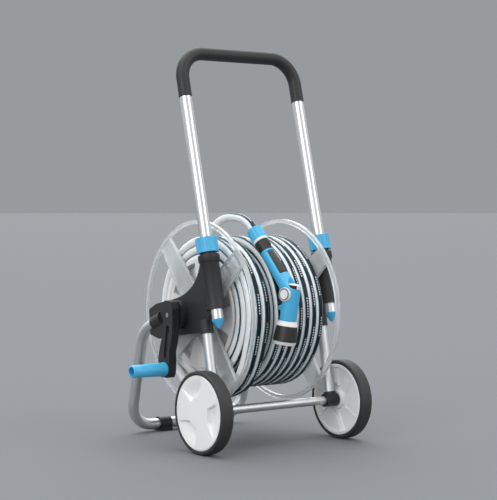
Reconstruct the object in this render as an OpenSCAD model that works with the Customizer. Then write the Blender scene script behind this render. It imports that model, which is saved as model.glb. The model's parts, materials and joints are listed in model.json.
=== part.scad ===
// Garden hose reel cart: two wheels, a tubular frame, a telescopic push handle and a cranked
// drum that carries a wound hose with a spray gun on its end.
// X runs along the wheel axle (crank side is -X), Y runs from the wheels back to the rear
// stand, Z is up. The origin is on the ground under the middle of the cart's box.

/* [Wheels and axle] */
// Wheel diameter
wheel_d = 170; // [160:1:170]
// Width of one wheel
wheel_w = 30.5; // [28:0.5:30.5]
// Distance between the outer faces of the wheels
track_w = 396; // [396:1:410]
// Diameter of the white wheel disc on the outside
disc_d = 153; // [140:1:154]
// Diameter of the steel axle rod
axle_rod_d = 12; // [10:1:12]
// Diameter of the tube over the axle rod
axle_tube_d = 18; // [16:1:18]

/* [Frame tubes] */
// Distance from the middle to each front leg
leg_x = 152; // [150:1:153]
// Diameter of the front legs
leg_d = 21.6; // [20:0.2:22]
// Diameter of the rear stand tube
stand_d = 24; // [22:0.5:24]
// Distance from the wheel axle back to the stand's cross tube
stand_y = 325; // [315:1:330]
// Distance from the middle to each side tube of the stand
stand_x = 150; // [148:1:151]

/* [Push handle] */
// Diameter of the sliding handle tubes
handle_d = 25; // [24:0.5:25]
// Distance from the middle to each handle tube
handle_x = 149.6; // [149:0.1:150]
// Backward lean of the handle in degrees
handle_lean = 14; // [13.5:0.1:14.5]
// Length of the handle from the bracket to the middle of the top bar
handle_len = 540; // [500:1:560]
// Diameter of the black hand grip
grip_d = 28; // [27.5:0.5:30]

/* [Reel] */
// Height of the drum's axis
reel_z = 276; // [276:1:280]
// Distance of the drum's axis behind the wheel axle
reel_y = 120; // [120:1:122]
// Diameter of the clear flange rings
flange_d = 394; // [380:1:394]
// Distance from the middle to the middle of each flange ring
flange_x = 110.5; // [110:0.5:111]
// Outer diameter of the drum that the hose is wound on
core_d = 220; // [218:1:220]
// Radius of the crank from the drum's axis to the grip
crank_r = 113; // [105:1:115]
// Length of the crank grip
crank_grip_len = 83; // [75:1:84]

/* [Hose] */
// Outer diameter of the hose
hose_d = 18; // [17:0.5:18]
// Turns side by side on the drum
turns_wide = 11; // [10:1:11]
// Layers of hose on the drum
layers = 3; // [2:1:3]

/* [Hidden] */
$fn = 64;
wheel_r = wheel_d / 2;
wheel_out = track_w / 2;
wheel_in = wheel_out - wheel_w;
axle_r = axle_rod_d / 2;
tube_wall = 1.4;
stand_z = 16;
stand_lean = 13.3;
stand_bend_r = 55;
stand_top_r = 60;
stand_top_turn = 54;
stand_leg_len = 190;
stand_tail = 50;
swage = 0.05;
foot_x = 63;
foot_half = 16;
grip_bottom = 443;
grip_corner_r = 58;
tube_low = -27;
sleeve_low = -7;
sleeve_top = 105;
bracket_in = 138;
bracket_out = 158;
boss_out = 171.5;
elbow_x = 183.5;
elbow_turn = 210;
crank_in = 174;
crank_out = 192;
grip_y = 5;
pin_r = 5;
flange_r = flange_d / 2;
flange_t = 8;
flange_hub_r = 50;
core_r = core_d / 2;
core_half = 101;
disc_t = 5;
coil_r = core_r + layers * hose_d;
tail_turn = 75;
tail_in = 12;
window_angles = [130, 220, 310, 40];
spoke_angles = [40, 130, 220, 310];
crank_end = crank_out + crank_grip_len + 1;
mid_x = (crank_end - wheel_out) / 2;
mid_y = (wheel_r - (stand_y + foot_half)) / 2;
run = 0.06;
// The free end of the hose, from the coil over the top to the spray gun
hose_route = [
    [-36, 240, 374], [-36, 225, 392], [-35, 209, 411], [-34, 194, 430],
    [-33, 178, 449], [-32, 161, 465], [-31, 139, 475], [-30, 116, 479],
    [-29, 94, 478], [-28, 73, 475], [-27, 53, 466], [-27, 37, 452]
];
// Spray gun: elbow of its body, and the directions of its head and its handle
gun_at = [-14, -72.8, 325];
gun_tilt_y = 5.8;
gun_tilt_x = 5.2;
gun_swing = 12;
gun_bend = 47;

// Placement helpers
module cart() translate([mid_x, mid_y, 0]) children();
module on_side(side) if (side < 0) mirror([1, 0, 0]) children(); else children();
module along_x(x) translate([x, 0, 0]) rotate([0, 90, 0]) children();
module at_axle() translate([0, 0, wheel_r]) children();
module at_reel() translate([0, reel_y, reel_z]) children();
module handle_frame() translate([0, 4, 300]) rotate([-handle_lean, 0, 0]) children();
module stand_frame() translate([0, stand_y, stand_z]) rotate([stand_lean, 0, 0]) children();
module gun() {
    cart() translate(gun_at) rotate([0, gun_tilt_y, 0]) rotate([gun_tilt_x, 0, 0])
        rotate([0, 0, gun_swing]) children();
}
module gun_handle(t) rotate([-gun_bend, 0, 0]) translate([0, 0, t]) children();
module pipe(r_out, r_in, h) difference() {
    cylinder(r = r_out, h = h);
    translate([0, 0, -1]) cylinder(r = r_in, h = h + 2);
}

// Wheels: a two-sided disc with three sunk pads on each face, and a smooth tyre
module pad_outline() {
    intersection() {
        circle(r = disc_d / 2 - 6);
        offset(r = 4) offset(delta = -4)
            polygon([[31, -17], [77, -82], [120, 0], [105, 46], [31, 12]]);
    }
}
module wheel_disc(side) {
    pad_depth = 4;
    color("gainsboro") cart() at_axle() on_side(side) along_x(wheel_in) difference() {
        union() {
            cylinder(r = wheel_r - 2.4, h = 2);
            cylinder(r = disc_d / 2, h = wheel_w - 0.5);
        }
        translate([0, 0, -1]) cylinder(r = axle_r + run, h = 24);
        translate([0, 0, 20]) cylinder(r = 9.2, h = 4);
        for (a = [0, 120, 240]) rotate([0, 0, -90 + a]) {
            translate([0, 0, wheel_w - 0.5 - pad_depth]) linear_extrude(pad_depth + 1) pad_outline();
            translate([0, 0, -1]) linear_extrude(pad_depth + 1) pad_outline();
        }
    }
}
module tyre(side) {
    edge = 4;
    color("dimgray") cart() at_axle() on_side(side) along_x(wheel_in) rotate_extrude() difference() {
        hull() {
            translate([wheel_r - edge, edge]) circle(r = edge, $fn = 32);
            translate([wheel_r - edge, wheel_w - edge]) circle(r = edge, $fn = 32);
            translate([disc_d / 2, 0.6]) square([1, wheel_w - 1.2]);
        }
        translate([0, -1]) square([disc_d / 2, wheel_w + 2]);
        translate([0, -1]) square([wheel_r - 2.4, 3]);
    }
}

// Axle: a plain rod through everything, held by two clips inside the wheel discs
module axle_rod() {
    half = wheel_in + 22.5;
    color("silver") cart() at_axle() along_x(-half) difference() {
        cylinder(r = axle_r, h = 2 * half);
        for (z = [1, 2 * half - 2.2]) translate([0, 0, z]) pipe(axle_r + 1, 5, 1.2);
    }
}
module axle_clips() {
    half = wheel_in + 22.5;
    color("gray") cart() at_axle() for (s = [-1, 1]) on_side(s)
        along_x(half - 2.2) pipe(8.4, 5, 1.2);
}
module axle_tube() {
    half = 150;
    color("silver") cart() at_axle() along_x(-half) pipe(axle_tube_d / 2, axle_r + 0.4, 2 * half);
}
module axle_connector(side) {
    start = 134;
    end = wheel_in - 1;
    color("#222222") cart() at_axle() on_side(side) difference() {
        union() {
            along_x(start) cylinder(r = 14.3, h = end - start);
            translate([leg_x, 0, 0]) rotate([-11.1, 0, 0]) cylinder(r = 13, h = 18);
        }
        along_x(start - 1) cylinder(r = axle_tube_d / 2, h = 150 - start + 1);
        along_x(start - 1) cylinder(r = axle_r, h = 50);
        translate([leg_x, 0, 0]) rotate([-11.1, 0, 0]) translate([0, 0, 9.5]) cylinder(r = leg_d / 2, h = 20);
    }
}

// Front legs, from the axle connectors up into the brackets
module front_leg(side) {
    color("silver") cart() at_axle() on_side(side) translate([leg_x, 0, 0]) rotate([-11.1, 0, 0])
        translate([0, 0, 9.5]) pipe(leg_d / 2, leg_d / 2 - tube_wall, 174);
}

// Rear stand: one tube bent into a U that leans back, with a cross tube near the ground
module tube_bend(r, angle) rotate_extrude(angle = angle) translate([r, 0]) difference() {
    circle(r = stand_d / 2, $fn = 48);
    circle(r = stand_d / 2 - tube_wall, $fn = 48);
}
module rear_stand() {
    r_out = stand_d / 2;
    r_in = r_out - tube_wall;
    flat = stand_x - stand_bend_r;
    color("silver") cart() stand_frame() {
        along_x(-flat) pipe(r_out, r_in, 2 * flat);
        for (s = [-1, 1]) on_side(s) {
            translate([flat, 0, stand_bend_r]) rotate([90, 0, 0]) rotate([0, 0, -90])
                tube_bend(stand_bend_r, 90);
            translate([stand_x, 0, stand_bend_r]) pipe(r_out, r_in, stand_leg_len - stand_bend_r);
            translate([stand_x, -stand_top_r, stand_leg_len]) rotate([90, 0, 90])
                tube_bend(stand_top_r, stand_top_turn);
            translate([stand_x, -stand_top_r, stand_leg_len]) rotate([stand_top_turn, 0, 0])
                translate([0, stand_top_r, -1]) pipe(r_out + swage, r_in - swage, stand_tail + 1);
        }
    }
}
module foot_clip(side) {
    half_w = 15;
    color("#2b2b2b") cart() translate([side * foot_x, stand_y, 0]) difference() {
        union() {
            translate([-half_w, 0, stand_z]) rotate([0, 90, 0]) cylinder(r = foot_half - 0.5, h = 2 * half_w);
            translate([-half_w, -foot_half, 0]) cube([2 * half_w, 2 * foot_half, 9]);
        }
        translate([-half_w - 1, 0, stand_z]) rotate([0, 90, 0])
            cylinder(r = stand_d / 2, h = 2 * half_w + 2);
    }
}

// Side brackets: a web from the handle sleeve back over the drum's axis to the stand
function bezier(a, b, c, n) = [for (i = [0 : n]) let (t = i / n)
    (1 - t) * (1 - t) * a + 2 * t * (1 - t) * b + t * t * c];
module bracket_outline() offset(r = 7) offset(delta = -7) polygon(concat(
    [[30, 392]], bezier([48, 388], [60, 318], [165, 303], 12),
    [[212, 293], [238, 280], [234, 226], [200, 219], [120, 233], [44, 243], [6, 290]]));
module bracket_web() {
    wall = 3;
    translate([bracket_in, 0, 0]) rotate([90, 0, 90]) difference() {
        linear_extrude(bracket_out - bracket_in) bracket_outline();
        translate([0, 0, -1]) linear_extrude(bracket_out - bracket_in - wall + 1)
            offset(delta = -wall) bracket_outline();
    }
}
module sleeve_solid() handle_frame() translate([handle_x, 0, 0]) {
    translate([0, 0, sleeve_low]) cylinder(r = 19.5, h = sleeve_top - sleeve_low - 18);
    translate([0, 0, sleeve_top - 18]) cylinder(r1 = 19.5, r2 = 22.5, h = 6);
    translate([0, 0, sleeve_top - 12]) cylinder(r = 22.5, h = 12);
    translate([0, 0, sleeve_top]) cylinder(r = 17, h = 17);
}
module leg_socket() at_axle() translate([leg_x, 0, 0]) rotate([-11.1, 0, 0])
    translate([0, 0, 160]) children();
module stand_socket() stand_frame() translate([stand_x, -stand_top_r, stand_leg_len])
    rotate([stand_top_turn, 0, 0]) translate([0, stand_top_r, 0]) children();
module bracket(side) {
    color("#3c3c3c") cart() on_side(side) difference() {
        union() {
            bracket_web();
            sleeve_solid();
            at_reel() along_x(130) cylinder(r = 30, h = boss_out - 130);
            leg_socket() cylinder(r = 14, h = 28);
            stand_socket() translate([0, 0, 22]) cylinder(r = 15.5, h = 36);
        }
        handle_frame() translate([handle_x, 0, -30]) cylinder(r = handle_d / 2 + run, h = 170);
        at_reel() along_x(120) cylinder(r = 14, h = 60);
        leg_socket() translate([0, 0, -1]) cylinder(r = leg_d / 2, h = 24.5);
        stand_socket() translate([0, 0, -1]) cylinder(r = stand_d / 2 + swage, h = stand_tail + 1);
        at_screws() translate([0, 0, -8]) cylinder(r = 2.2, h = 10);
    }
}
module at_screws() {
    leg_socket() translate([0, 0, 12]) rotate([0, -90, 0]) translate([0, 0, 14]) children();
    stand_socket() translate([0, 0, 40]) rotate([0, -90, 0]) translate([0, 0, 15.5]) children();
}
module bracket_screws() {
    color("silver") cart() for (s = [-1, 1]) on_side(s) at_screws() {
        cylinder(r = 4.4, h = 2.2);
        translate([0, 0, -7]) cylinder(r = 2.2, h = 7);
    }
}

// Tube clamps: a split collet on each handle tube under a fluted twist collar
module collet(side) {
    color("#202020") cart() on_side(side) handle_frame() translate([handle_x, 0, 122.4]) difference() {
        pipe(14.8, handle_d / 2 + run, 16);
        for (a = [0, 120, 240]) rotate([0, 0, a]) translate([0, -1, 3]) cube([20, 2, 14]);
    }
}
module clamp_collar(side) {
    flutes = 12;
    color("#3ea8d9") cart() on_side(side) handle_frame() translate([handle_x, 0, 110.4]) difference() {
        cylinder(r = 23, h = 31);
        for (a = [0 : 360 / flutes : 359]) rotate([0, 0, a])
            translate([25.2, 0, 3]) cylinder(r = 3.4, h = 40);
        translate([0, 0, -1]) cylinder(r = 17.4, h = 14);
        translate([0, 0, 5]) cylinder(r = 15.3, h = 23.4);
        translate([0, 0, 20]) cylinder(r = handle_d / 2 + 0.6, h = 20);
    }
}

// Push handle: two tubes joined by a plastic bow, with a plug in each lower end
module handle_tube(side) {
    color("silver") cart() on_side(side) handle_frame() translate([handle_x, 0, tube_low])
        pipe(handle_d / 2, handle_d / 2 - tube_wall, grip_bottom + 35 - tube_low);
}
module tube_plug(side) {
    r = handle_d / 2;
    color("#3ea8d9") cart() on_side(side) handle_frame() translate([handle_x, 0, tube_low])
        rotate_extrude() polygon([[0, 12], [r - tube_wall, 12], [r - tube_wall, 0], [r, 0],
            [r, -2.5], [3, -19], [2, -20], [0, -20]]);
}
module handle_grip() {
    top = handle_len - grip_corner_r;
    flat = handle_x - grip_corner_r;
    r = grip_d / 2;
    color("#3a3a3a") cart() handle_frame() {
        translate([0, 0, handle_len]) rotate([0, 90, 0])
            translate([0, 0, -flat]) cylinder(r = r, h = 2 * flat);
        for (s = [-1, 1]) on_side(s) {
            translate([flat, 0, top]) rotate([90, 0, 0]) rotate_extrude(angle = 90)
                translate([grip_corner_r, 0]) circle(r = r, $fn = 48);
            difference() {
                translate([handle_x, 0, grip_bottom]) cylinder(r = r, h = top - grip_bottom);
                translate([handle_x, 0, grip_bottom - 1]) cylinder(r = handle_d / 2, h = 36);
            }
        }
    }
}

// Drum: a plain core between two white end discs, each behind a clear spoked flange
module drum_core() {
    color("white") cart() at_reel() along_x(-core_half) difference() {
        pipe(core_r, core_r - 3, 2 * core_half);
        translate([0, 0, 2 * core_half - tail_in]) rotate([0, 90, tail_turn])
            cylinder(r = 9.2, h = core_r + 5);
    }
}
module end_disc(side) {
    color("whitesmoke") cart() at_reel() on_side(side) along_x(core_half) difference() {
        union() {
            cylinder(r = core_r + 5, h = disc_t);
            translate([0, 0, disc_t - 0.5]) cylinder(r = 29, h = 20.5);
        }
        translate([0, 0, -1]) cylinder(r = side < 0 ? 11 : 12.1, h = 40);
        for (a = window_angles) rotate([0, 0, -a]) for (m = [0, 1]) mirror([0, m, 0])
            translate([0, 0, -1]) linear_extrude(disc_t + 2) intersection() {
                circle(r = core_r - 2);
                polygon([[44, 6], [130, 6], [130, 75], [44, 20]]);
            }
    }
}
module flange_ring() difference() {
    circle(r = flange_r - 8);
    circle(r = flange_hub_r);
}
module flange(side) {
    plate = 3;
    color("#dfe6e6", 0.5) cart() at_reel() on_side(side) along_x(flange_x - flange_t / 2) difference() {
        cylinder(r = flange_r, h = flange_t);
        translate([0, 0, -1]) cylinder(r = 29, h = flange_t + 2);
        for (a = spoke_angles) rotate([0, 0, -90 - a]) {
            translate([0, 0, -1]) linear_extrude(flange_t + 2) intersection() {
                flange_ring();
                polygon([[30, 30.4], [200, 19.6], [200, 200], [19.6, 200]]);
            }
            translate([0, 0, plate]) linear_extrude(flange_t) intersection() {
                flange_ring();
                polygon([[36, -26.9], [200, -16.6], [200, 16.6], [36, 26.9]]);
            }
        }
    }
}

// Drum bearings: a shaft for the crank on one side, a water inlet through the other
module crank_shaft() {
    color("silver") cart() at_reel() {
        along_x(-boss_out - 1) difference() {
            cylinder(r = 11, h = boss_out + 1 - 95);
            translate([0, 0, -1]) cylinder(r = 2.5, h = 16);
        }
        along_x(-boss_out + 0.5) pipe(14 - run, 11, 40);
        along_x(-crank_in - 12) intersection() {
            difference() {
                cylinder(r = 11, h = 14);
                translate([0, 0, -1]) cylinder(r = 2.5, h = 16);
            }
            translate([-8, -8, 0]) cube([16, 16, 14]);
        }
    }
}
module hose_tail() {
    color("#222222") cart() at_reel() {
        along_x(60) difference() {
            cylinder(r = 20, h = 40);
            translate([0, 0, 4]) cylinder(r = 12.1, h = 40);
            translate([0, 0, core_half - tail_in - 60]) rotate([0, 90, tail_turn]) cylinder(r = 5, h = 60);
        }
        translate([core_half - tail_in, 0, 0]) rotate([0, 90, 0]) rotate([0, 90, tail_turn]) difference() {
            translate([0, 0, 19]) cylinder(r = 8, h = core_r - 19.6);
            cylinder(r = 5, h = core_r + 2);
        }
    }
}
module inlet_elbow() {
    color("#222222") cart() at_reel() difference() {
        union() {
            along_x(68) cylinder(r = 12.04, h = 64);
            along_x(131) cylinder(r = 13.95, h = 43);
            along_x(172) cylinder(r = 17, h = 6);
            along_x(elbow_x) sphere(r = 12.5);
            translate([elbow_x, 0, 0]) rotate([elbow_turn, 0, 0]) cylinder(r = 11, h = 34);
        }
        along_x(60) cylinder(r = 6, h = 130);
        translate([elbow_x, 0, 0]) rotate([elbow_turn, 0, 0]) cylinder(r = 5.4, h = 40);
        for (x = [76, 84]) along_x(x) pipe(13, 10.2, 2.4);
    }
}
module inlet_seals() {
    color("#151515") cart() at_reel() for (x = [77.2, 85.2]) along_x(x)
        rotate_extrude() translate([11.1, 0]) circle(r = 0.9, $fn = 24);
}
module inlet_nipple() {
    color("#3ea8d9") cart() at_reel() translate([elbow_x, 0, 0]) rotate([elbow_turn, 0, 0])
        translate([0, 0, 34])
        difference() {
            rotate_extrude() polygon([[0, 0], [11, 0], [11, 4], [8, 4], [8, 14], [6.8, 15], [6.8, 18],
                [8, 19], [8, 24], [7, 26], [0, 26]]);
            translate([0, 0, -1]) cylinder(r = 5, h = 30);
        }
}

// Crank: an S-shaped arm on the shaft's square end, with a grip that spins on a steel pin
module arm_outline() offset(r = 8) offset(delta = -8) polygon(concat(
    [[-12, 30], [-21, 14]], bezier([-21, -16], [-20, -50], [-9, -74], 4), [[-9, -112], [-4, -131]],
    [[22, -131], [29, -122], [32, -92]], bezier([24, -62], [12, -40], [12, -10], 4), [[14, 26], [8, 30]]));
module crank_arm() {
    color("#3c3c3c") cart() at_reel() translate([-crank_out, 0, 0]) rotate([90, 0, 90]) difference() {
        linear_extrude(crank_out - crank_in) arm_outline();
        translate([0, 0, -1]) linear_extrude(6) hull() {
            translate([-4, -26]) circle(r = 4, $fn = 32);
            translate([-4, -34]) circle(r = 4, $fn = 32);
        }
        translate([0, 0, -1]) linear_extrude(4) hull() {
            translate([-3, -26]) circle(r = 5, $fn = 32);
            translate([6, -86]) circle(r = 5, $fn = 32);
        }
        translate([-8, -8, 5]) cube([16, 16, 20]);
        translate([0, 0, -1]) cylinder(r = 2.6, h = 20);
        translate([0, 0, -1]) cylinder(r = 5.5, h = 4);
        translate([grip_y, -crank_r, -1]) cylinder(r = pin_r, h = 30);
    }
}
module crank_screw() {
    color("gray") cart() at_reel() along_x(-crank_out + 0.5) {
        cylinder(r = 5, h = 2.4);
        cylinder(r = 2.4, h = 18);
    }
}
module crank_pin() {
    color("silver") cart() at_reel() translate([-crank_out - 62, grip_y, -crank_r]) rotate([0, 90, 0]) {
        cylinder(r = pin_r, h = 62 + crank_out - crank_in - 2);
        cylinder(r = 8, h = 3);
    }
}
module crank_grip() {
    color("#3ea8d9") cart() at_reel() translate([-crank_end, grip_y, -crank_r]) rotate([0, 90, 0])
    difference() {
        rotate_extrude() polygon([[0, 0], [11.4, 0], [12.8, 1.6], [13.4, 26], [14.6, crank_grip_len - 8],
            [15, crank_grip_len - 4], [14.2, crank_grip_len], [0, crank_grip_len]]);
        translate([0, 0, -1]) cylinder(r = 9.4, h = crank_grip_len - 56);
        translate([0, 0, -1]) cylinder(r = pin_r + run, h = crank_grip_len + 2);
    }
}

// Hose: the wound coil as its outer shape, and the free loop swept along its route
module hose_coil() {
    color("#cbd6db") cart() at_reel() along_x(-core_half) pipe(coil_r, core_r, 2 * core_half);
}
function unit(v) = v / norm(v);
function along(i) = unit(hose_route[min(i + 1, len(hose_route) - 1)] - hose_route[max(i - 1, 0)]);
function ring_side(i) = unit(cross([1, 0, 0], along(i)));
hose_sides = 10;
module hose_loop() {
    n = len(hose_route);
    points = [for (i = [0 : n - 1]) for (k = [0 : hose_sides - 1])
        let (a = 360 * k / hose_sides, v = ring_side(i), w = cross(along(i), v))
        hose_route[i] + hose_d / 2 * (cos(a) * v + sin(a) * w)];
    walls = [for (i = [0 : n - 2]) for (k = [0 : hose_sides - 1]) let (m = (k + 1) % hose_sides)
        [i * hose_sides + k, (i + 1) * hose_sides + k, (i + 1) * hose_sides + m, i * hose_sides + m]];
    ends = [[for (k = [0 : hose_sides - 1]) k],
        [for (k = [hose_sides - 1 : -1 : 0]) (n - 1) * hose_sides + k]];
    color("#cbd6db") cart() polyhedron(points, concat(walls, ends));
}

// Spray gun: hose connector, handle, head, lever and adjusters
module gun_nut() {
    color("#3ea8d9") gun() gun_handle(140) difference() {
        cylinder(r = 17.2, h = 28);
        for (a = [0 : 30 : 359]) rotate([0, 0, a]) translate([19.2, 0, 3]) cylinder(r = 3, h = 40);
    }
}
module gun_ring() color("white") gun() gun_handle(134) cylinder(r = 17.2, h = 6);
module gun_socket() color("#3a3634") gun() gun_handle(109) {
    cylinder(r1 = 14, r2 = 15.5, h = 25);
    translate([-4, -16.5, 8]) cube([8, 8, 12]);
}
module gun_body() {
    color("#3ea8d9") gun() difference() {
        union() {
            gun_handle(104.5) scale([1.12, 1, 1]) cylinder(r = 14.2, h = 4.5);
            hull() {
                gun_handle(100) scale([1, 0.88, 1]) cylinder(r = 14.5, h = 6, $fn = 32);
                gun_handle(20) scale([1, 1.1, 1]) cylinder(r = 15.5, h = 5, $fn = 32);
            }
            hull() {
                gun_handle(20) cylinder(r = 16, h = 5, $fn = 32);
                translate([0, -1, -12]) cylinder(r = 17.5, h = 21, $fn = 32);
            }
            hull() {
                translate([0, -1, -14]) cylinder(r = 17.5, h = 4, $fn = 32);
                translate([0, 0, -58]) cylinder(r = 17.5, h = 2, $fn = 32);
            }
        }
        gun_handle(44) translate([-30, -40, 0]) cube([60, 32, 60]);
        translate([-14.9, 3, -4]) rotate([0, -90, 0]) cylinder(r = 14.6, h = 10);
        translate([0, -5, 9]) cylinder(r = 13.4, h = 30);
    }
    color("#3ea8d9") gun() for (x = [-10.4, 7.4]) translate([x, 0, 0]) rotate([90, 0, 90]) difference() {
        linear_extrude(3) polygon([[10, -41], [22.2, -36.5], [23.2, -31], [10, -23]]);
        translate([20.9, -32.5, -1]) cylinder(r = 1.4, h = 6);
    }
}
module gun_soft_insert() {
    color("#2c2a28") gun() gun_handle(45) intersection() {
        translate([-30, -40, 0]) cube([60, 31.8, 58]);
        hull() {
            translate([0, 0, 56]) scale([1, 0.9, 1]) cylinder(r = 14.6, h = 2, $fn = 32);
            scale([1, 1.03, 1]) cylinder(r = 15.2, h = 3, $fn = 32);
        }
    }
}
module gun_trigger() {
    color("#2c2a28") gun() difference() {
        translate([-7, 0, 0]) rotate([90, 0, 90]) linear_extrude(14)
            polygon([[18.2, -34], [20, -36], [23.2, -34], [28, -14], [29.2, -6], [27.4, -4], [25.2, -7],
                [22.8, -17], [19.2, -27]]);
        translate([-20, 20.9, -32.5]) rotate([0, 90, 0]) cylinder(r = 1.5, h = 40);
    }
}
module gun_trigger_pin() color("silver") gun() translate([-10.4, 20.9, -32.5]) rotate([0, 90, 0])
    cylinder(r = 1.4, h = 20.8);
module gun_side_cap() color("white") gun() translate([-14.9, 3, -4]) rotate([0, -90, 0]) {
    cylinder(r = 14.4, h = 4.5);
    translate([0, 0, 4.5]) cylinder(r = 11.5, h = 1);
}
module gun_thumb_wheel() color("#2c2a28") gun() translate([0, -5, 9.4]) difference() {
    cylinder(r = 11.5, h = 6.6);
    for (a = [0 : 30 : 359]) rotate([0, 0, a]) translate([12.3, 0, -1]) cylinder(r = 1.5, h = 9);
}
module gun_cap() color("white") gun() {
    translate([0, -5, 16.4]) cylinder(r1 = 13, r2 = 11, h = 3);
    translate([-7, -18.4, 9]) cube([14, 1.4, 7.4]);
}
module gun_collar() color("white") gun() translate([0, 0, -68]) cylinder(r1 = 22.6, r2 = 18.6, h = 10);
module gun_bezel() color("#2c2a28") gun() translate([0, 0, -100])
    rotate_extrude() polygon([[0, 0], [24, 0], [25.2, 1.5], [24.4, 8], [22.2, 29], [21.4, 31.6],
        [0, 31.6]]);
module gun_front_ring() color("white") gun() translate([0, 0, -107]) difference() {
    cylinder(r1 = 21.5, r2 = 24, h = 7);
    translate([0, 0, -1]) cylinder(r = 18, h = 4);
}

wheel_disc(-1);  // wheel_disc_left
wheel_disc(1);  // wheel_disc_right
tyre(-1);  // tyre_left
tyre(1);  // tyre_right
axle_rod();
axle_clips();
axle_tube();
axle_connector(-1);  // axle_connector_left
axle_connector(1);  // axle_connector_right
front_leg(-1);  // front_leg_left
front_leg(1);  // front_leg_right
rear_stand();
foot_clip(-1);  // foot_clip_left
foot_clip(1);  // foot_clip_right
bracket(-1);  // bracket_left
bracket(1);  // bracket_right
bracket_screws();
collet(-1);  // collet_left
collet(1);  // collet_right
clamp_collar(-1);  // clamp_collar_left
clamp_collar(1);  // clamp_collar_right
handle_tube(-1);  // handle_tube_left
handle_tube(1);  // handle_tube_right
handle_grip();
tube_plug(-1);  // tube_plug_left
tube_plug(1);  // tube_plug_right
drum_core();
end_disc(-1);  // end_disc_left
end_disc(1);  // end_disc_right
flange(-1);  // flange_left
flange(1);  // flange_right
crank_shaft();
hose_tail();
inlet_elbow();
inlet_seals();
inlet_nipple();
crank_arm();
crank_screw();
crank_pin();
crank_grip();
hose_coil();
hose_loop();
gun_nut();
gun_ring();
gun_socket();
gun_body();
gun_soft_insert();
gun_trigger();
gun_trigger_pin();
gun_side_cap();
gun_thumb_wheel();
gun_cap();
gun_collar();
gun_bezel();
gun_front_ring();
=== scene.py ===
"""A garden hose reel cart in its looks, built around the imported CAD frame. Sizes are in metres."""

import json
import math

import bmesh
import bpy
from mathutils import Matrix, Vector


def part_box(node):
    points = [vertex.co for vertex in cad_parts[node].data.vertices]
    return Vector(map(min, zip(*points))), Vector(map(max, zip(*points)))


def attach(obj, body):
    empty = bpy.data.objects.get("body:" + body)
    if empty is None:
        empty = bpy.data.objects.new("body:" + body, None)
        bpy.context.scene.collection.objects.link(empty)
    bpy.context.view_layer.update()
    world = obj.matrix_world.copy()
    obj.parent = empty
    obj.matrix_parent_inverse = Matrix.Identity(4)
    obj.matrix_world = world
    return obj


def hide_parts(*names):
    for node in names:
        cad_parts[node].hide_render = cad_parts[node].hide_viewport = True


bl_info = {
    "name": "Garden Hose Reel Cart",
    "version": (1, 0, 0),
    "blender": (4, 5, 0),
    "location": "3D Viewport > Sidebar > Reel Cart",
    "description": "Builds a hose reel cart with its wound hose, spray gun and finishes",
    "category": "Add Mesh",
}

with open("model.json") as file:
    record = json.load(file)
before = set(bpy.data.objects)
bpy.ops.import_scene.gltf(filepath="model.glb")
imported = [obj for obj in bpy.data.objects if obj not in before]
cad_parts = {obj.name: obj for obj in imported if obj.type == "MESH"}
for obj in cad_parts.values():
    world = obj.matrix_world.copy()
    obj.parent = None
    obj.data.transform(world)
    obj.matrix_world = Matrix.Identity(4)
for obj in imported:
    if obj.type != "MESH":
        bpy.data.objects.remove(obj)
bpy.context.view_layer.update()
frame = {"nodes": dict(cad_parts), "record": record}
BODY_OF = {n: b for b, names in frame["record"]["behaviour"]["bodies"].items() for n in names}
PAIR = ("left", "right")

# The cart's own frame in the part: X along the axle, Y back from the axle, Z up.
CART = Matrix.Translation((0.039, -0.128, 0))
REEL = CART @ Matrix.Translation((0, 0.120, 0.276))
GUN = (
    CART
    @ Matrix.Translation((-0.014, -0.0728, 0.325))
    @ Matrix.Rotation(math.radians(5.8), 4, "Y")
    @ Matrix.Rotation(math.radians(5.2), 4, "X")
    @ Matrix.Rotation(math.radians(12), 4, "Z")
)
HANDLE_LEAN = math.radians(14)
STAND_LEAN = math.radians(13.3)

# The free end of the hose, from the coil over the top into the gun's nut
LOOP = (
    (-0.036, 0.240, 0.374), (-0.036, 0.225, 0.392), (-0.035, 0.209, 0.411), (-0.034, 0.194, 0.430),
    (-0.033, 0.178, 0.449), (-0.032, 0.161, 0.465), (-0.031, 0.139, 0.475), (-0.030, 0.116, 0.479),
    (-0.029, 0.094, 0.478), (-0.028, 0.073, 0.475), (-0.027, 0.053, 0.466), (-0.027, 0.037, 0.452),
)


def linear(code):
    """The linear RGBA of an sRGB hex colour."""
    parts = [int(code[i : i + 2], 16) / 255 for i in (0, 2, 4)]
    return [c / 12.92 if c <= 0.04045 else ((c + 0.055) / 1.055) ** 2.4 for c in parts] + [1.0]


def colour(name, code, about):
    return bpy.props.FloatVectorProperty(
        name=name, description=about, subtype="COLOR", size=4, min=0, max=1, default=linear(code)
    )


class CartColours(bpy.types.PropertyGroup):
    """Colours of the cart's finishes."""

    blue: colour("Blue plastic", "44abd8", "Collars, plugs, crank grip and gun")
    black: colour("Black plastic", "202021", "Brackets and crank arm")
    grip: colour("Hand grip", "1f1f1f", "Soft bow at the top of the handle")
    white: colour("White plastic", "e4e3e2", "Drum, end discs and the gun's white parts")
    wheel: colour("Wheel disc", "eaeae9", "Wheel discs")
    tyre: colour("Tyre", "2c2d2c", "Tyres")
    hose: colour("Hose", "f1f3f3", "Body of the hose")
    stripe: colour("Hose stripe", "06121b", "Dark stripe along the hose")
    edge: colour("Stripe edge", "3a7f92", "Thin line at each edge of the stripe")
    backdrop: colour("Backdrop", "979b9e", "Plain backdrop behind the cart")


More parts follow.
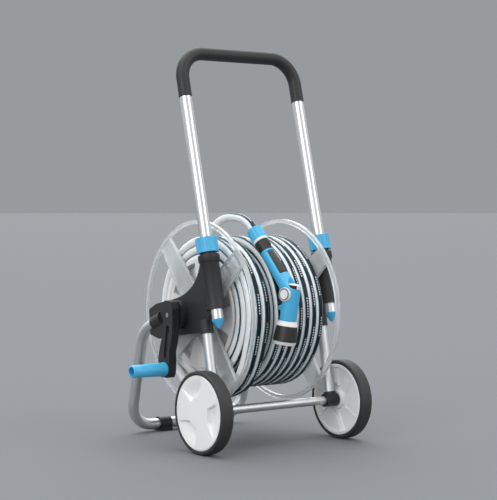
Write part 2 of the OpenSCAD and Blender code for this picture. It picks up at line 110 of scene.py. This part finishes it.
class CartSizes(bpy.types.PropertyGroup):
    """Sizes of what is built around the frame."""

    hose_diameter: bpy.props.FloatProperty(
        name="Hose diameter", description="Outside diameter of the hose", default=0.018, unit="LENGTH"
    )
    stripe_width: bpy.props.FloatProperty(
        name="Stripe width", description="Width of the dark stripe", default=0.0100, unit="LENGTH"
    )
    pad_depth: bpy.props.FloatProperty(
        name="Pad depth", description="Depth of the wheel's sunk pads", default=0.0080, unit="LENGTH"
    )
    edge_radius: bpy.props.FloatProperty(
        name="Edge radius", description="Rounding of moulded edges", default=0.0009, unit="LENGTH"
    )


# Materials


def add(tree, kind, values=None, links=None, **settings):
    """Adds a node with its settings, input values and input links."""
    node = tree.nodes.new(kind)
    for name, value in settings.items():
        setattr(node, name, value)
    for name, value in (values or {}).items():
        node.inputs[name].default_value = value
    for name, socket in (links or {}).items():
        tree.links.new(socket, node.inputs[name])
    return node


def start(name, values):
    """A material with a Principled shader, its tree, the shader and object coordinates."""
    found = bpy.data.materials.new(name)
    found.use_nodes = True
    tree = found.node_tree
    tree.nodes.clear()
    shader = add(tree, "ShaderNodeBsdfPrincipled", values)
    add(tree, "ShaderNodeOutputMaterial", links={"Surface": shader.outputs[0]})
    place = add(tree, "ShaderNodeTexCoord").outputs["Object"]
    return found, tree, shader, place


def mottle(tree, shader, place, base, spread, size_mm, rough):
    """Slow cloudy variation of colour and roughness, size_mm across."""
    cloud = add(tree, "ShaderNodeTexNoise", {"Scale": 1000 / size_mm, "Detail": 4}, {"Vector": place})
    low = [c * (1 - spread) for c in base[:3]] + [1]
    high = [min(1, c * (1 + spread)) for c in base[:3]] + [1]
    mix = add(tree, "ShaderNodeMix", {6: low, 7: high}, {0: cloud.outputs[0]}, data_type="RGBA")
    tree.links.new(mix.outputs[2], shader.inputs["Base Color"])
    ramp = add(
        tree, "ShaderNodeMapRange", {"To Min": rough[0], "To Max": rough[1]}, {"Value": cloud.outputs[0]}
    )
    tree.links.new(ramp.outputs[0], shader.inputs["Roughness"])


def moulded(name, base, rough, grain_mm=1.4, grain=0.05, spread=0.05, **extra):
    """Injection-moulded plastic with a spark-eroded grain, drawn coarser than its real 0.2 mm."""
    values = {"IOR": 1.5, **{k.replace("_", " "): v for k, v in extra.items()}}
    found, tree, shader, place = start(name, values)
    mottle(tree, shader, place, base, spread, 45, rough)
    pits = add(tree, "ShaderNodeTexNoise", {"Scale": 1000 / grain_mm, "Detail": 2}, {"Vector": place})
    bump = add(
        tree, "ShaderNodeBump", {"Strength": grain, "Distance": 0.0003}, {"Height": pits.outputs[0]}
    )
    tree.links.new(bump.outputs[0], shader.inputs["Normal"])
    return found


def drawn_aluminium(name, code, lean, rough):
    """Drawn and anodised tube: soft long reflections, with faint lines 1.5 mm apart along it."""
    found, tree, shader, place = start(name, {"Metallic": 1.0, "Base Color": linear(code)})
    turn = add(tree, "ShaderNodeMapping", {"Rotation": (lean, 0, 0)}, {"Vector": place})
    long = add(tree, "ShaderNodeMapping", {"Scale": (1, 1, 0.02)}, {"Vector": turn.outputs[0]})
    lines = add(tree, "ShaderNodeTexNoise", {"Scale": 650, "Detail": 3}, {"Vector": long.outputs[0]})
    ramp = add(
        tree, "ShaderNodeMapRange", {"To Min": rough, "To Max": rough + 0.08}, {"Value": lines.outputs[0]}
    )
    tree.links.new(ramp.outputs[0], shader.inputs["Roughness"])
    bump = add(
        tree, "ShaderNodeBump", {"Strength": 0.015, "Distance": 0.0001}, {"Height": lines.outputs[0]}
    )
    tree.links.new(bump.outputs[0], shader.inputs["Normal"])
    return found


def zinc_plated_steel():
    """Zinc-plated steel: bright with a cool cast and small spangled patches about 3 mm across."""
    found, tree, shader, place = start("zinc_plated_steel", {"Metallic": 1.0})
    mottle(tree, shader, place, linear("b9bdc2"), 0.08, 3, (0.24, 0.38))
    return found


def crystal_polystyrene():
    """Clear polystyrene, injection moulded: it lets the grey through, catches light at its edges
    and is slightly milky, with flow lines about 40 mm apart."""
    values = {
        "Base Color": linear("f6f9fa"), "IOR": 1.5, "Transmission Weight": 0.68, "Roughness": 0.1,
        "Specular IOR Level": 0.7,
    }
    found, tree, shader, place = start("crystal_polystyrene", values)
    flow = add(tree, "ShaderNodeTexNoise", {"Scale": 25, "Detail": 2}, {"Vector": place})
    ramp = add(tree, "ShaderNodeMapRange", {"To Min": 0.05, "To Max": 0.2}, {"Value": flow.outputs[0]})
    tree.links.new(ramp.outputs[0], shader.inputs["Roughness"])
    return found


def striped_pvc(colours, sizes):
    """Extruded PVC hose: smooth white skin, a dark stripe with pale ticks on it, and teal edges.
    The piece's hose_lay attribute holds metres along the hose and the cosine and sine round it."""
    found, tree, shader, place = start("striped_pvc", {"IOR": 1.52, "Specular IOR Level": 0.28})

    def calc(operation, *terms):
        values = {i: t for i, t in enumerate(terms) if isinstance(t, (int, float))}
        links = {i: t for i, t in enumerate(terms) if not isinstance(t, (int, float))}
        return add(tree, "ShaderNodeMath", values, links, operation=operation).outputs[0]

    lay = add(tree, "ShaderNodeAttribute", attribute_name="hose_lay").outputs["Vector"]
    split = add(tree, "ShaderNodeSeparateXYZ", links={0: lay}).outputs
    along = split[0]
    round_it = calc("MULTIPLY", calc("ARCTAN2", split[2], split[1]), sizes.hose_diameter / 2)
    # The stripe wanders 1.5 mm to each side as the hose twists.
    wander = calc("MULTIPLY", calc("SINE", calc("MULTIPLY", along, 3.1)), 0.0015)
    across = calc("ABSOLUTE", calc("ADD", round_it, wander))
    half = sizes.stripe_width / 2
    stripe = calc("LESS_THAN", across, half)
    rim = calc("LESS_THAN", calc("ABSOLUTE", calc("SUBTRACT", across, half + 0.0007)), 0.0007)
    # Ticks 2.4 mm high in groups, as printed marks are on a hose, without any lettering.
    beat = calc("FRACT", calc("DIVIDE", along, 0.0052))
    group = calc("FRACT", calc("DIVIDE", along, 0.083))
    tick = calc(
        "MULTIPLY",
        calc("MULTIPLY", calc("LESS_THAN", beat, 0.5), calc("LESS_THAN", group, 0.5)),
        calc("LESS_THAN", across, 0.0012),
    )
    skin = add(tree, "ShaderNodeTexNoise", {"Scale": 60, "Detail": 3}, {"Vector": place})
    pale = [c * 0.9 for c in colours.hose[:3]] + [1]
    body = add(
        tree, "ShaderNodeMix", {6: pale, 7: list(colours.hose)}, {0: skin.outputs[0]}, data_type="RGBA"
    )
    edged = add(
        tree, "ShaderNodeMix", {7: list(colours.edge)}, {0: rim, 6: body.outputs[2]}, data_type="RGBA"
    )
    dark = add(
        tree, "ShaderNodeMix", {7: list(colours.stripe)}, {0: stripe, 6: edged.outputs[2]}, data_type="RGBA"
    )
    ticked = add(
        tree, "ShaderNodeMix", {7: linear("eef3f4")}, {0: tick, 6: dark.outputs[2]}, data_type="RGBA"
    )
    tree.links.new(ticked.outputs[2], shader.inputs["Base Color"])
    gloss = add(tree, "ShaderNodeMapRange", {"To Min": 0.3, "To Max": 0.42}, {"Value": skin.outputs[0]})
    tree.links.new(gloss.outputs[0], shader.inputs["Roughness"])
    return found


def make_finishes():
    """Every finish, by the part of the cart that it is on."""
    colours, sizes = bpy.context.scene.cart_colours, bpy.context.scene.cart_sizes
    tone = {name: list(getattr(colours, name)) for name in CartColours.__annotations__}
    return {
        "handle_tube": drawn_aluminium("bright_anodised_aluminium", "d2d4d6", HANDLE_LEAN, 0.24),
        "stand_tube": drawn_aluminium("satin_anodised_aluminium", "cfd1d3", -STAND_LEAN, 0.33),
        "steel": zinc_plated_steel(),
        # Glass-filled polypropylene: satin, greyer where light rakes it
        "bracket": moulded("satin_polypropylene_black", tone["black"], (0.42, 0.52)),
        "dark": moulded("nylon_black", linear("181818"), (0.38, 0.5)),
        "blue": moulded("blue_abs", tone["blue"], (0.26, 0.36), spread=0.04),
        "white": moulded("white_abs", tone["white"], (0.3, 0.42), spread=0.02),
        "drum": moulded("white_polypropylene_drum", linear("dcdcdc"), (0.38, 0.5), spread=0.03),
        "wheel": moulded("white_polypropylene_wheel", tone["wheel"], (0.45, 0.58), spread=0.02),
        "tyre": moulded("moulded_eva_tyre", tone["tyre"], (0.55, 0.7), 1.8, 0.12),
        "grip": moulded("soft_touch_tpe", tone["grip"], (0.45, 0.56), 1.6, 0.15),
        "insert": moulded("soft_tpe_insert", linear("1a1918"), (0.36, 0.48), 1.4, 0.12),
        "clear": crystal_polystyrene(),
        "hose": striped_pvc(colours, sizes),
        "rubber": moulded("nitrile_rubber", linear("151515"), (0.4, 0.55)),
    }


FINISHES = {}


def finish_of(name):
    if not FINISHES:
        FINISHES.update(make_finishes())
    return FINISHES[name]


# Making pieces


def commit(bm, name, node, finish, bevel=0.0, smooth=35, stands=True, angle=30):
    """Makes the mesh a piece that moves with a CAD node's body and, unless stands is false,
    stands for that node."""
    mesh = bpy.data.meshes.new(name)
    bm.to_mesh(mesh)
    bm.free()
    piece = bpy.data.objects.new(name, mesh)
    bpy.context.scene.collection.objects.link(piece)
    for face in mesh.polygons:
        face.use_smooth = True
    mesh.set_sharp_from_angle(angle=math.radians(smooth))
    mesh.materials.append(finish_of(finish))
    if bevel:
        edge = piece.modifiers.new("edges", "BEVEL")
        edge.width, edge.segments, edge.limit_method = bevel, 3, "ANGLE"
        edge.angle_limit, edge.use_clamp_overlap, edge.harden_normals = math.radians(angle), True, True
    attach(piece, BODY_OF[node])
    if stands:
        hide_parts(node)
    return piece


def cad_mesh(node):
    """A merged copy of a CAD node's mesh, with its flat faces made whole again."""
    bm = bmesh.new()
    bm.from_mesh(frame["nodes"][node].data)
    bmesh.ops.remove_doubles(bm, verts=bm.verts, dist=2e-6)
    bmesh.ops.dissolve_limit(
        bm, angle_limit=math.radians(0.6), verts=bm.verts, edges=bm.edges, use_dissolve_boundaries=False
    )
    return bm


def soften(node, finish, bevel=None):
    """A CAD node with moulded, slightly rounded edges."""
    width = bpy.context.scene.cart_sizes.edge_radius if bevel is None else bevel
    return commit(cad_mesh(node), node + "_moulded", node, finish, width)


def paint(node, finish):
    """A CAD node whose shape is right keeps it and takes a better finish."""
    mesh = frame["nodes"][node].data
    mesh.materials.clear()
    mesh.materials.append(finish_of(finish))


def spun(profile, place, steps=96):
    """A closed solid of revolution about local Z from (radius, height) points, put at place."""
    bm = bmesh.new()
    verts = [bm.verts.new((r, 0, z)) for r, z in profile]
    edges = [bm.edges.new(pair) for pair in zip(verts, verts[1:])]
    bmesh.ops.spin(
        bm, geom=verts + edges, cent=(0, 0, 0), axis=(0, 0, 1), angle=math.tau, steps=steps, use_merge=True
    )
    bmesh.ops.remove_doubles(bm, verts=bm.verts, dist=1e-6)
    bmesh.ops.transform(bm, matrix=place, verts=bm.verts)
    bmesh.ops.recalc_face_normals(bm, faces=bm.faces)
    return bm


def along_x(x, y, z, side=1):
    """A place whose local Z points along X, outwards on the given side."""
    return Matrix.Translation((x, y, z)) @ Matrix.Rotation(side * math.pi / 2, 4, "Y")


def smoothstep(low, high, value):
    """Rises softly from 0 at low to 1 at high; low may be the larger of the two."""
    t = min(1, max(0, (value - low) / (high - low)))
    return t * t * (3 - 2 * t)


# The wound hose

COIL_R = (0.119, 0.137, 0.155)
SLOTS = [0.090 - 0.018 * i for i in range(11)]
CROSS = (285, 345)
DIAGONAL = (225, 345)
STEP = 7.5


def hose_path():
    """The hose's middle line, from the drum's outlet through its layers and over the top."""
    turns = [(x, COIL_R[0]) for x in SLOTS] + [(x, COIL_R[1]) for x in reversed(SLOTS)]
    turns += [(x, COIL_R[2]) for x in SLOTS[:7]]
    last = [(x, COIL_R[2]) for x in (SLOTS[10], SLOTS[9], SLOTS[8], SLOTS[7])]
    line = []

    def point(x, r, degrees):
        a = math.radians(degrees)
        line.append(REEL @ Vector((x, r * math.cos(a), r * math.sin(a))))

    steps = int(360 / STEP)
    for k, (x, r) in enumerate(turns):
        crossing = DIAGONAL if k == len(turns) - 1 else CROSS
        x_next, r_next = (turns + last)[k + 1]
        for i in range(steps):
            degrees = -15 + i * STEP
            t = smoothstep(crossing[0], crossing[1], degrees)
            start_up = 1 - smoothstep(-15, 30, degrees) if k == 0 else 0
            point(x + (x_next - x) * t, r + (r_next - r) * t - 0.007 * start_up, degrees)
    for k, (x, r) in enumerate(last):
        x_next = last[min(k + 1, 3)][0]
        for i in range(steps if k < 3 else int(54 / STEP)):
            degrees = -15 + i * STEP
            t = smoothstep(CROSS[0], CROSS[1], degrees)
            over = smoothstep(195, 240, degrees) if k < 3 else 0
            if k:
                over = max(over, 1 - smoothstep(-15, 20, degrees))
            point(x + (x_next - x) * t, r + 0.018 * over, degrees)
    line += [CART @ Vector(p) for p in LOOP]
    line.append(line[-1] + (line[-1] - line[-2]).normalized() * 0.008)
    return line


def path_length(line):
    return sum((b - a).length for a, b in zip(line, line[1:]))


def smooth_loop(line, count):
    """The last count points once more, three times as close, on a smooth curve through them."""
    head, tail = line[:-count], line[-count:]
    dense = []
    for i in range(len(tail) - 1):
        a, b, c, d = tail[max(i - 1, 0)], tail[i], tail[i + 1], tail[min(i + 2, len(tail) - 1)]
        for t in (0, 1 / 3, 2 / 3):
            m, n = (c - a) / 2, (d - b) / 2
            dense.append(
                b * (2 * t**3 - 3 * t**2 + 1) + m * (t**3 - 2 * t**2 + t)
                + c * (3 * t**2 - 2 * t**3) + n * (t**3 - t**2)
            )
    return head + dense + [tail[-1]]


class CART_OT_hose(bpy.types.Operator):
    """The hose, wound in three layers, with its free end over the top into the spray gun."""

    bl_idname = "cart.hose"
    bl_label = "Wound Hose"

    def execute(self, context):
        size = context.scene.cart_sizes.hose_diameter
        line = smooth_loop(hose_path(), 14)
        data = bpy.data.curves.new("hose_line", "CURVE")
        data.dimensions, data.bevel_depth, data.bevel_resolution = "3D", size / 2, 6
        data.use_fill_caps = True
        spline = data.splines.new("POLY")
        spline.points.add(len(line) - 1)
        for place, found in zip(line, spline.points):
            found.co = (*place, 1)
        holder = bpy.data.objects.new("hose_line", data)
        mesh = bpy.data.meshes.new_from_object(holder)
        bpy.data.objects.remove(holder)
        mesh.name = "wound_hose"
        sides = 2 * (data.bevel_resolution + 2)
        lay = mesh.attributes.new("hose_lay", "FLOAT_VECTOR", "POINT")
        last = len(line) - 1
        gone = [0.0]
        for a, b in zip(line, line[1:]):
            gone.append(gone[-1] + (b - a).length)
        for vert in mesh.vertices:
            # The rims of the far and the near end cap come first, and then the rings.
            i = vert.index // sides - 2
            i = last if i == -2 else max(i, 0)
            ahead = (line[min(i + 1, last)] - line[max(i - 1, 0)]).normalized()
            out = Vector((0, line[i].y - REEL.translation.y, line[i].z - REEL.translation.z))
            out = (out - ahead * out.dot(ahead)).normalized()
            spoke = vert.co - line[i]
            if spoke.length > size:
                raise RuntimeError("the hose's rings are not in the order of its line")
            lay.data[vert.index].vector = (gone[i], spoke.dot(out), spoke.dot(ahead.cross(out)))
        # The caps' rims are joined to the first and the last ring.
        bm = bmesh.new()
        bm.from_mesh(mesh)
        bm.verts.ensure_lookup_table()
        bmesh.ops.remove_doubles(bm, verts=bm.verts[: 3 * sides] + bm.verts[-sides:], dist=1e-6)
        bm.to_mesh(mesh)
        bm.free()
        for face in mesh.polygons:
            face.use_smooth = True
        mesh.materials.clear()
        mesh.materials.append(finish_of("hose"))
        piece = bpy.data.objects.new("wound_hose", mesh)
        context.scene.collection.objects.link(piece)
        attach(piece, "reel")
        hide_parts("hose_coil", "hose_loop")
        context.scene["hose_length"] = path_length(line)
        context.scene["hose_points"] = [c for p in line for c in p]
        return {"FINISHED"}


# Wheels

# One side of a sunk pad in millimetres: it bends round the hub, with its middle along the first axis.
PAD = ((77, -82), (31, -17), (31, 12), (105, 46))
PAD_COUNT = 3
SEAT_R = 0.0764
FACE_R = 0.0735
HUB_R = 0.012
TYRE_ROUND = 0.0048


def inside_pad(u, v):
    """How far a point of the wheel's face is inside a pad's bent edge, in metres."""
    depth = 1.0
    for (ax, ay), (bx, by) in zip(PAD, PAD[1:]):
        dx, dy = bx - ax, by - ay
        cross = (dx * (v * 1000 - ay) - dy * (u * 1000 - ax)) / math.hypot(dx, dy)
        depth = min(depth, -cross / 1000)
    return depth


def inside_pads(x, y):
    """The same for whichever of the wheel's pads the point is deepest in."""
    found = []
    for k in range(PAD_COUNT):
        a = math.radians(90 + 360 / PAD_COUNT * k)
        found.append(inside_pad(x * math.cos(a) - y * math.sin(a), x * math.sin(a) + y * math.cos(a)))
    return max(found)


def wheel_shape(wide, deep):
    """A wheel disc about Z: its face has sunk pads that fade out towards the rim, and its back is
    hollow between the rim, the hub and the backs of the pads, which have a thin rib round them."""
    face = [(0.0, wide)] + [(0.0012 * i + 0.0012, wide) for i in range(61)]
    rim = [(SEAT_R - 0.0010, wide - 0.0003), (SEAT_R, wide - 0.0013), (SEAT_R, 0.0012)]
    back = [(SEAT_R - 0.0010, 0.0003)] + [(0.0744 - 0.0010 * i, 0.0) for i in range(63)]
    hub = [(0.0115, 0.0), (0.0108, -0.0006), (0.0072, -0.0006), (0.0062, 0.0), (0.0062, 0.02), (0, 0.02)]
    bm = spun(face + rim + back + hub, Matrix.Identity(4), 180)
    for v in bm.verts:
        r = math.hypot(v.co.x, v.co.y)
        front = v.co.z > wide / 2
        in_hub = r < HUB_R or v.co.z > 0.001
        if r > FACE_R or (not front and in_hub):
            continue
        inside = inside_pads(v.co.x, v.co.y)
        pad = smoothstep(0.0, 0.0026, inside)
        if front:
            v.co.z -= deep * pad * (1 - 0.9 * smoothstep(0.040, FACE_R, r))
        else:
            rib = smoothstep(-0.0068, -0.0054, inside) - smoothstep(-0.0044, -0.0030, inside)
            hollow = smoothstep(0.0705, 0.0685, r) * smoothstep(0.0190, 0.0210, r)
            v.co.z += deep * hollow * (1 - 0.6 * pad - 0.6 * rib)
    return bm


def tyre_profile(r, wide):
    """Half a section of the tyre, closed: its seat, two rounded shoulders and the tread between."""

    def shoulder(z, start):
        turns = [math.radians(start + 15 * i) for i in range(7)]
        return [(r - TYRE_ROUND + TYRE_ROUND * math.cos(t), z + TYRE_ROUND * math.sin(t)) for t in turns]

    seat = [(0.0766, 0.0015), (0.0772, 0.0006), (0.0800, 0.0)]
    tread = [(r, wide * t) for t in (0.25, 0.5, 0.75)]
    side = [(0.0800, wide), (0.0776, wide - 0.0004), (0.0766, wide - 0.0016), seat[0]]
    return seat + shoulder(TYRE_ROUND, -90) + tread + shoulder(wide - TYRE_ROUND, 0) + side


class CART_OT_wheels(bpy.types.Operator):
    """Two moulded wheel discs with soft sunk pads, and their tyres."""

    bl_idname = "cart.wheels"
    bl_label = "Wheels"

    def execute(self, context):
        deep = context.scene.cart_sizes.pad_depth
        for side, name in ((-1, "left"), (1, "right")):
            low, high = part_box("tyre_" + name)
            disc_low, disc_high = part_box("wheel_disc_" + name)
            inner, outer = (low.x, disc_high.x) if side > 0 else (high.x, disc_low.x)
            middle = (low + high) / 2
            place = along_x(inner, middle.y, middle.z, side)
            bm = wheel_shape(abs(outer - inner), deep)
            bmesh.ops.transform(bm, matrix=place, verts=bm.verts)
            bmesh.ops.recalc_face_normals(bm, faces=bm.faces)
            commit(bm, "wheel_" + name, "wheel_disc_" + name, "wheel", 0, 40)
            tyre = tyre_profile(middle.z, high.x - low.x)
            commit(spun(tyre, place, 180), "tyre_ring_" + name, "tyre_" + name, "tyre")
        return {"FINISHED"}


class CART_OT_axle(bpy.types.Operator):
    """The axle rod, its tube, clips and the barrel connectors that the legs stand in."""

    bl_idname = "cart.axle"
    bl_label = "Axle"

    def execute(self, context):
        soften("axle_rod", "steel", 0.0)
        paint("axle_clips", "steel")
        soften("axle_tube", "stand_tube", 0.0)
        for name in PAIR:
            soften("axle_connector_" + name, "dark", 0.0012)
        return {"FINISHED"}


class CART_OT_stand(bpy.types.Operator):
    """The bent rear stand with its foot clips, and the front legs."""

    bl_idname = "cart.stand"
    bl_label = "Stand and Legs"

    def execute(self, context):
        soften("rear_stand", "stand_tube", 0.0)
        for name in PAIR:
            soften("front_leg_" + name, "stand_tube", 0.0)
            soften("foot_clip_" + name, "dark", 0.0012)
        return {"FINISHED"}


class CART_OT_brackets(bpy.types.Operator):
    """The moulded side brackets with their screws."""

    bl_idname = "cart.brackets"
    bl_label = "Side Brackets"

    def execute(self, context):
        for name in PAIR:
            soften("bracket_" + name, "bracket", 0.0016)
        soften("bracket_screws", "steel", 0.0006)
        return {"FINISHED"}


class CART_OT_handle(bpy.types.Operator):
    """The sliding handle: tubes, bow grip, end plugs, collets and twist collars."""

    bl_idname = "cart.handle"
    bl_label = "Push Handle"

    def execute(self, context):
        for name in PAIR:
            soften("handle_tube_" + name, "handle_tube", 0.0)
            soften("tube_plug_" + name, "blue", 0.0008)
            soften("collet_" + name, "dark", 0.0004)
            soften("clamp_collar_" + name, "blue", 0.0009)
        soften("handle_grip", "grip", 0.0012)
        return {"FINISHED"}


class CART_OT_reel(bpy.types.Operator):
    """The drum with its end discs, clear flanges, bearings and water inlet."""

    bl_idname = "cart.reel"
    bl_label = "Reel"

    def execute(self, context):
        soften("drum_core", "drum", 0.0)
        for name in PAIR:
            soften("end_disc_" + name, "drum", 0.0008)
            soften("flange_" + name, "clear", 0.0009)
        # Webs inside the drum, seen through the windows of its end discs: the bore round the
        # shaft, the drum's inside and the web's thickness
        bore, inside, thick = 0.0125, 0.1062, 0.002
        web = [(bore, 0), (inside, 0), (inside, thick), (bore, thick), (bore, 0)]
        for side, name, x in ((-1, "left", 0.089), (1, "right", 0.070)):
            place = along_x(REEL.translation.x + side * x, *REEL.translation.yz, side)
            commit(spun(web, place), "drum_web_" + name, "drum_core", "drum", stands=False)
        soften("crank_shaft", "steel", 0.0)
        soften("hose_tail", "dark", 0.0)
        paint("inlet_seals", "rubber")
        soften("inlet_elbow", "dark", 0.0008)
        soften("inlet_nipple", "blue", 0.0005)
        return {"FINISHED"}


class CART_OT_crank(bpy.types.Operator):
    """The crank arm, its screw and pin, and the grip that spins on it."""

    bl_idname = "cart.crank"
    bl_label = "Crank"

    def execute(self, context):
        soften("crank_arm", "bracket", 0.0014)
        soften("crank_screw", "steel", 0.0005)
        soften("crank_pin", "steel", 0.0)
        soften("crank_grip", "blue", 0.0010)
        return {"FINISHED"}


# The gun's CAD node, its finish and the rounding of its edges. The body comes last.
GUN_PIECES = (
    ("gun_nut", "blue", 0.0010), ("gun_ring", "white", 0.0010), ("gun_socket", "insert", 0.0009),
    ("gun_soft_insert", "insert", 0.0018), ("gun_trigger", "insert", 0.0008),
    ("gun_side_cap", "white", 0.0008), ("gun_thumb_wheel", "insert", 0.0005),
    ("gun_cap", "white", 0.0008), ("gun_collar", "white", 0.0008), ("gun_bezel", "insert", 0.0008),
    ("gun_front_ring", "white", 0.0006), ("gun_body", "blue", 0.0),
)
# The middle of the side cap, in the gun's own frame
SIDE_CAP = Matrix.Translation((-0.0149, 0.003, -0.004)) @ Matrix.Rotation(-math.pi / 2, 4, "Y")


class CART_OT_gun(bpy.types.Operator):
    """The spray gun: nut, ring, socket, body, soft insert, trigger, caps and bezel."""

    bl_idname = "cart.gun"
    bl_label = "Spray Gun"

    def execute(self, context):
        tools = [soften(*piece) for piece in GUN_PIECES]
        # The moulded body flows from the handle into the head without a joint.
        fused = tools[-1].modifiers.new("fused", "REMESH")
        fused.mode, fused.voxel_size, fused.use_smooth_shade = "VOXEL", 0.0010, True
        soft = tools[-1].modifiers.new("soft", "SMOOTH")
        soft.factor, soft.iterations = 0.6, 7
        tools.append(self.cap_rim())
        paint("gun_trigger_pin", "steel")
        return {"FINISHED"}

    def cap_rim(self):
        """The black ring let into the gun's white side cap."""
        low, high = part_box("gun_side_cap")
        place = GUN @ SIDE_CAP
        into_cap = place.inverted()
        top = max((into_cap @ v.co).z for v in frame["nodes"]["gun_side_cap"].data.vertices)
        outer = (high.z - low.z) / 2 - 0.0024
        inner = outer - 0.0018
        ring = [
            (inner, top - 0.0004), (inner, top + 0.0002), (inner + 0.0004, top + 0.0005),
            (outer - 0.0004, top + 0.0005), (outer, top + 0.0002), (outer, top - 0.0004),
            (inner, top - 0.0004),
        ]
        return commit(spun(ring, place, 64), "gun_cap_rim", "gun_body", "insert", stands=False)


# The even light all round, and each softbox in it: azimuth, height, half width and strength
EVEN_LIGHT = 0.82
SOFTBOXES = ((200, 24, 20, 2.3), (296, 28, 15, 2.0), (90, 80, 38, 1.5), (60, 35, 28, 1.5), (245, 8, 8, 0.9))


class CART_OT_stage(bpy.types.Operator):
    """The camera, the floor with its backdrop, and the soft light."""

    bl_idname = "cart.stage"
    bl_label = "Stage"

    def execute(self, context):
        scene = context.scene
        camera = bpy.data.objects.new("camera", bpy.data.cameras.new("camera"))
        scene.collection.objects.link(camera)
        camera.data.lens, camera.data.sensor_width = 109.1, 36
        look = Vector((0.60204, 0.79781, -0.03245))
        camera.location = (-1.9100, -2.6188, 0.5135)
        camera.rotation_euler = look.to_track_quat("-Z", "Y").to_euler()
        scene.camera = camera
        floor = self.floor(scene)
        self.studio(scene)
        scene.view_settings.view_transform = "Standard"
        return {"FINISHED"}

    def studio(self, scene):
        """Soft even light from all round with brighter softboxes set in it, and a plain backdrop of
        the floor's own tone behind the cart."""
        world = bpy.data.worlds.new("studio")
        world.use_nodes = True
        tree = world.node_tree
        tree.nodes.clear()
        way = add(tree, "ShaderNodeTexCoord").outputs["Generated"]
        total = add(tree, "ShaderNodeValue").outputs[0]
        total.default_value = EVEN_LIGHT
        for azimuth, height, wide, power in SOFTBOXES:
            a, h = math.radians(azimuth), math.radians(height)
            aim = (math.cos(a) * math.cos(h), math.sin(a) * math.cos(h), math.sin(h))
            near = add(tree, "ShaderNodeVectorMath", {1: aim}, {0: way}, operation="DOT_PRODUCT")
            outside, inside = math.cos(math.radians(wide * 1.25)), math.cos(math.radians(wide * 0.8))
            box = add(
                tree, "ShaderNodeMapRange", {"From Min": outside, "From Max": inside, "To Max": power},
                {"Value": near.outputs["Value"]}, interpolation_type="SMOOTHSTEP",
            )
            both = {0: total, 1: box.outputs[0]}
            total = add(tree, "ShaderNodeMath", links=both, operation="ADD").outputs[0]
        light = add(tree, "ShaderNodeBackground", {0: linear("fbfcfd")}, {1: total})
        seen = add(tree, "ShaderNodeBackground", {0: list(scene.cart_colours.backdrop), 1: 1.0})
        path = add(tree, "ShaderNodeLightPath")
        mix = add(
            tree, "ShaderNodeMixShader",
            links={0: path.outputs["Is Camera Ray"], 1: light.outputs[0], 2: seen.outputs[0]},
        )
        add(tree, "ShaderNodeOutputWorld", links={0: mix.outputs[0]})
        scene.world = world

    def floor(self, scene):
        """A pale matt floor that runs far past the view."""
        bm = bmesh.new()
        bmesh.ops.create_circle(bm, cap_ends=True, segments=96, radius=60)
        bmesh.ops.translate(bm, verts=bm.verts, vec=(0, 0, -0.0002))
        mesh = bpy.data.meshes.new("floor")
        bm.to_mesh(mesh)
        bm.free()
        found, tree, shader, place = start("painted_floor", {"IOR": 1.3, "Specular IOR Level": 0.1})
        mottle(tree, shader, place, linear("76797c"), 0.01, 400, (0.85, 0.95))
        mesh.materials.append(found)
        floor = bpy.data.objects.new("floor", mesh)
        scene.collection.objects.link(floor)
        return floor


STEPS = (
    CART_OT_stage, CART_OT_hose, CART_OT_wheels, CART_OT_axle, CART_OT_stand, CART_OT_brackets,
    CART_OT_handle, CART_OT_reel, CART_OT_crank, CART_OT_gun,
)


class CART_PT_build(bpy.types.Panel):
    """Lists the steps that build the cart."""

    bl_idname = "CART_PT_build"
    bl_label = "Hose Reel Cart"
    bl_space_type = "VIEW_3D"
    bl_region_type = "UI"
    bl_category = "Reel Cart"

    def draw(self, context):
        for group in (context.scene.cart_sizes, context.scene.cart_colours):
            for name in type(group).__annotations__:
                self.layout.prop(group, name)
        for step in STEPS:
            self.layout.operator(step.bl_idname)


CLASSES = (CartColours, CartSizes, *STEPS, CART_PT_build)


def register():
    for found in CLASSES:
        bpy.utils.register_class(found)
    bpy.types.Scene.cart_colours = bpy.props.PointerProperty(type=CartColours)
    bpy.types.Scene.cart_sizes = bpy.props.PointerProperty(type=CartSizes)


def unregister():
    del bpy.types.Scene.cart_sizes
    del bpy.types.Scene.cart_colours
    for found in reversed(CLASSES):
        bpy.utils.unregister_class(found)


def main():
    register()
    for step in STEPS:
        getattr(bpy.ops.cart, step.bl_idname.split(".")[1])()


if __name__ == "__main__":
    main()
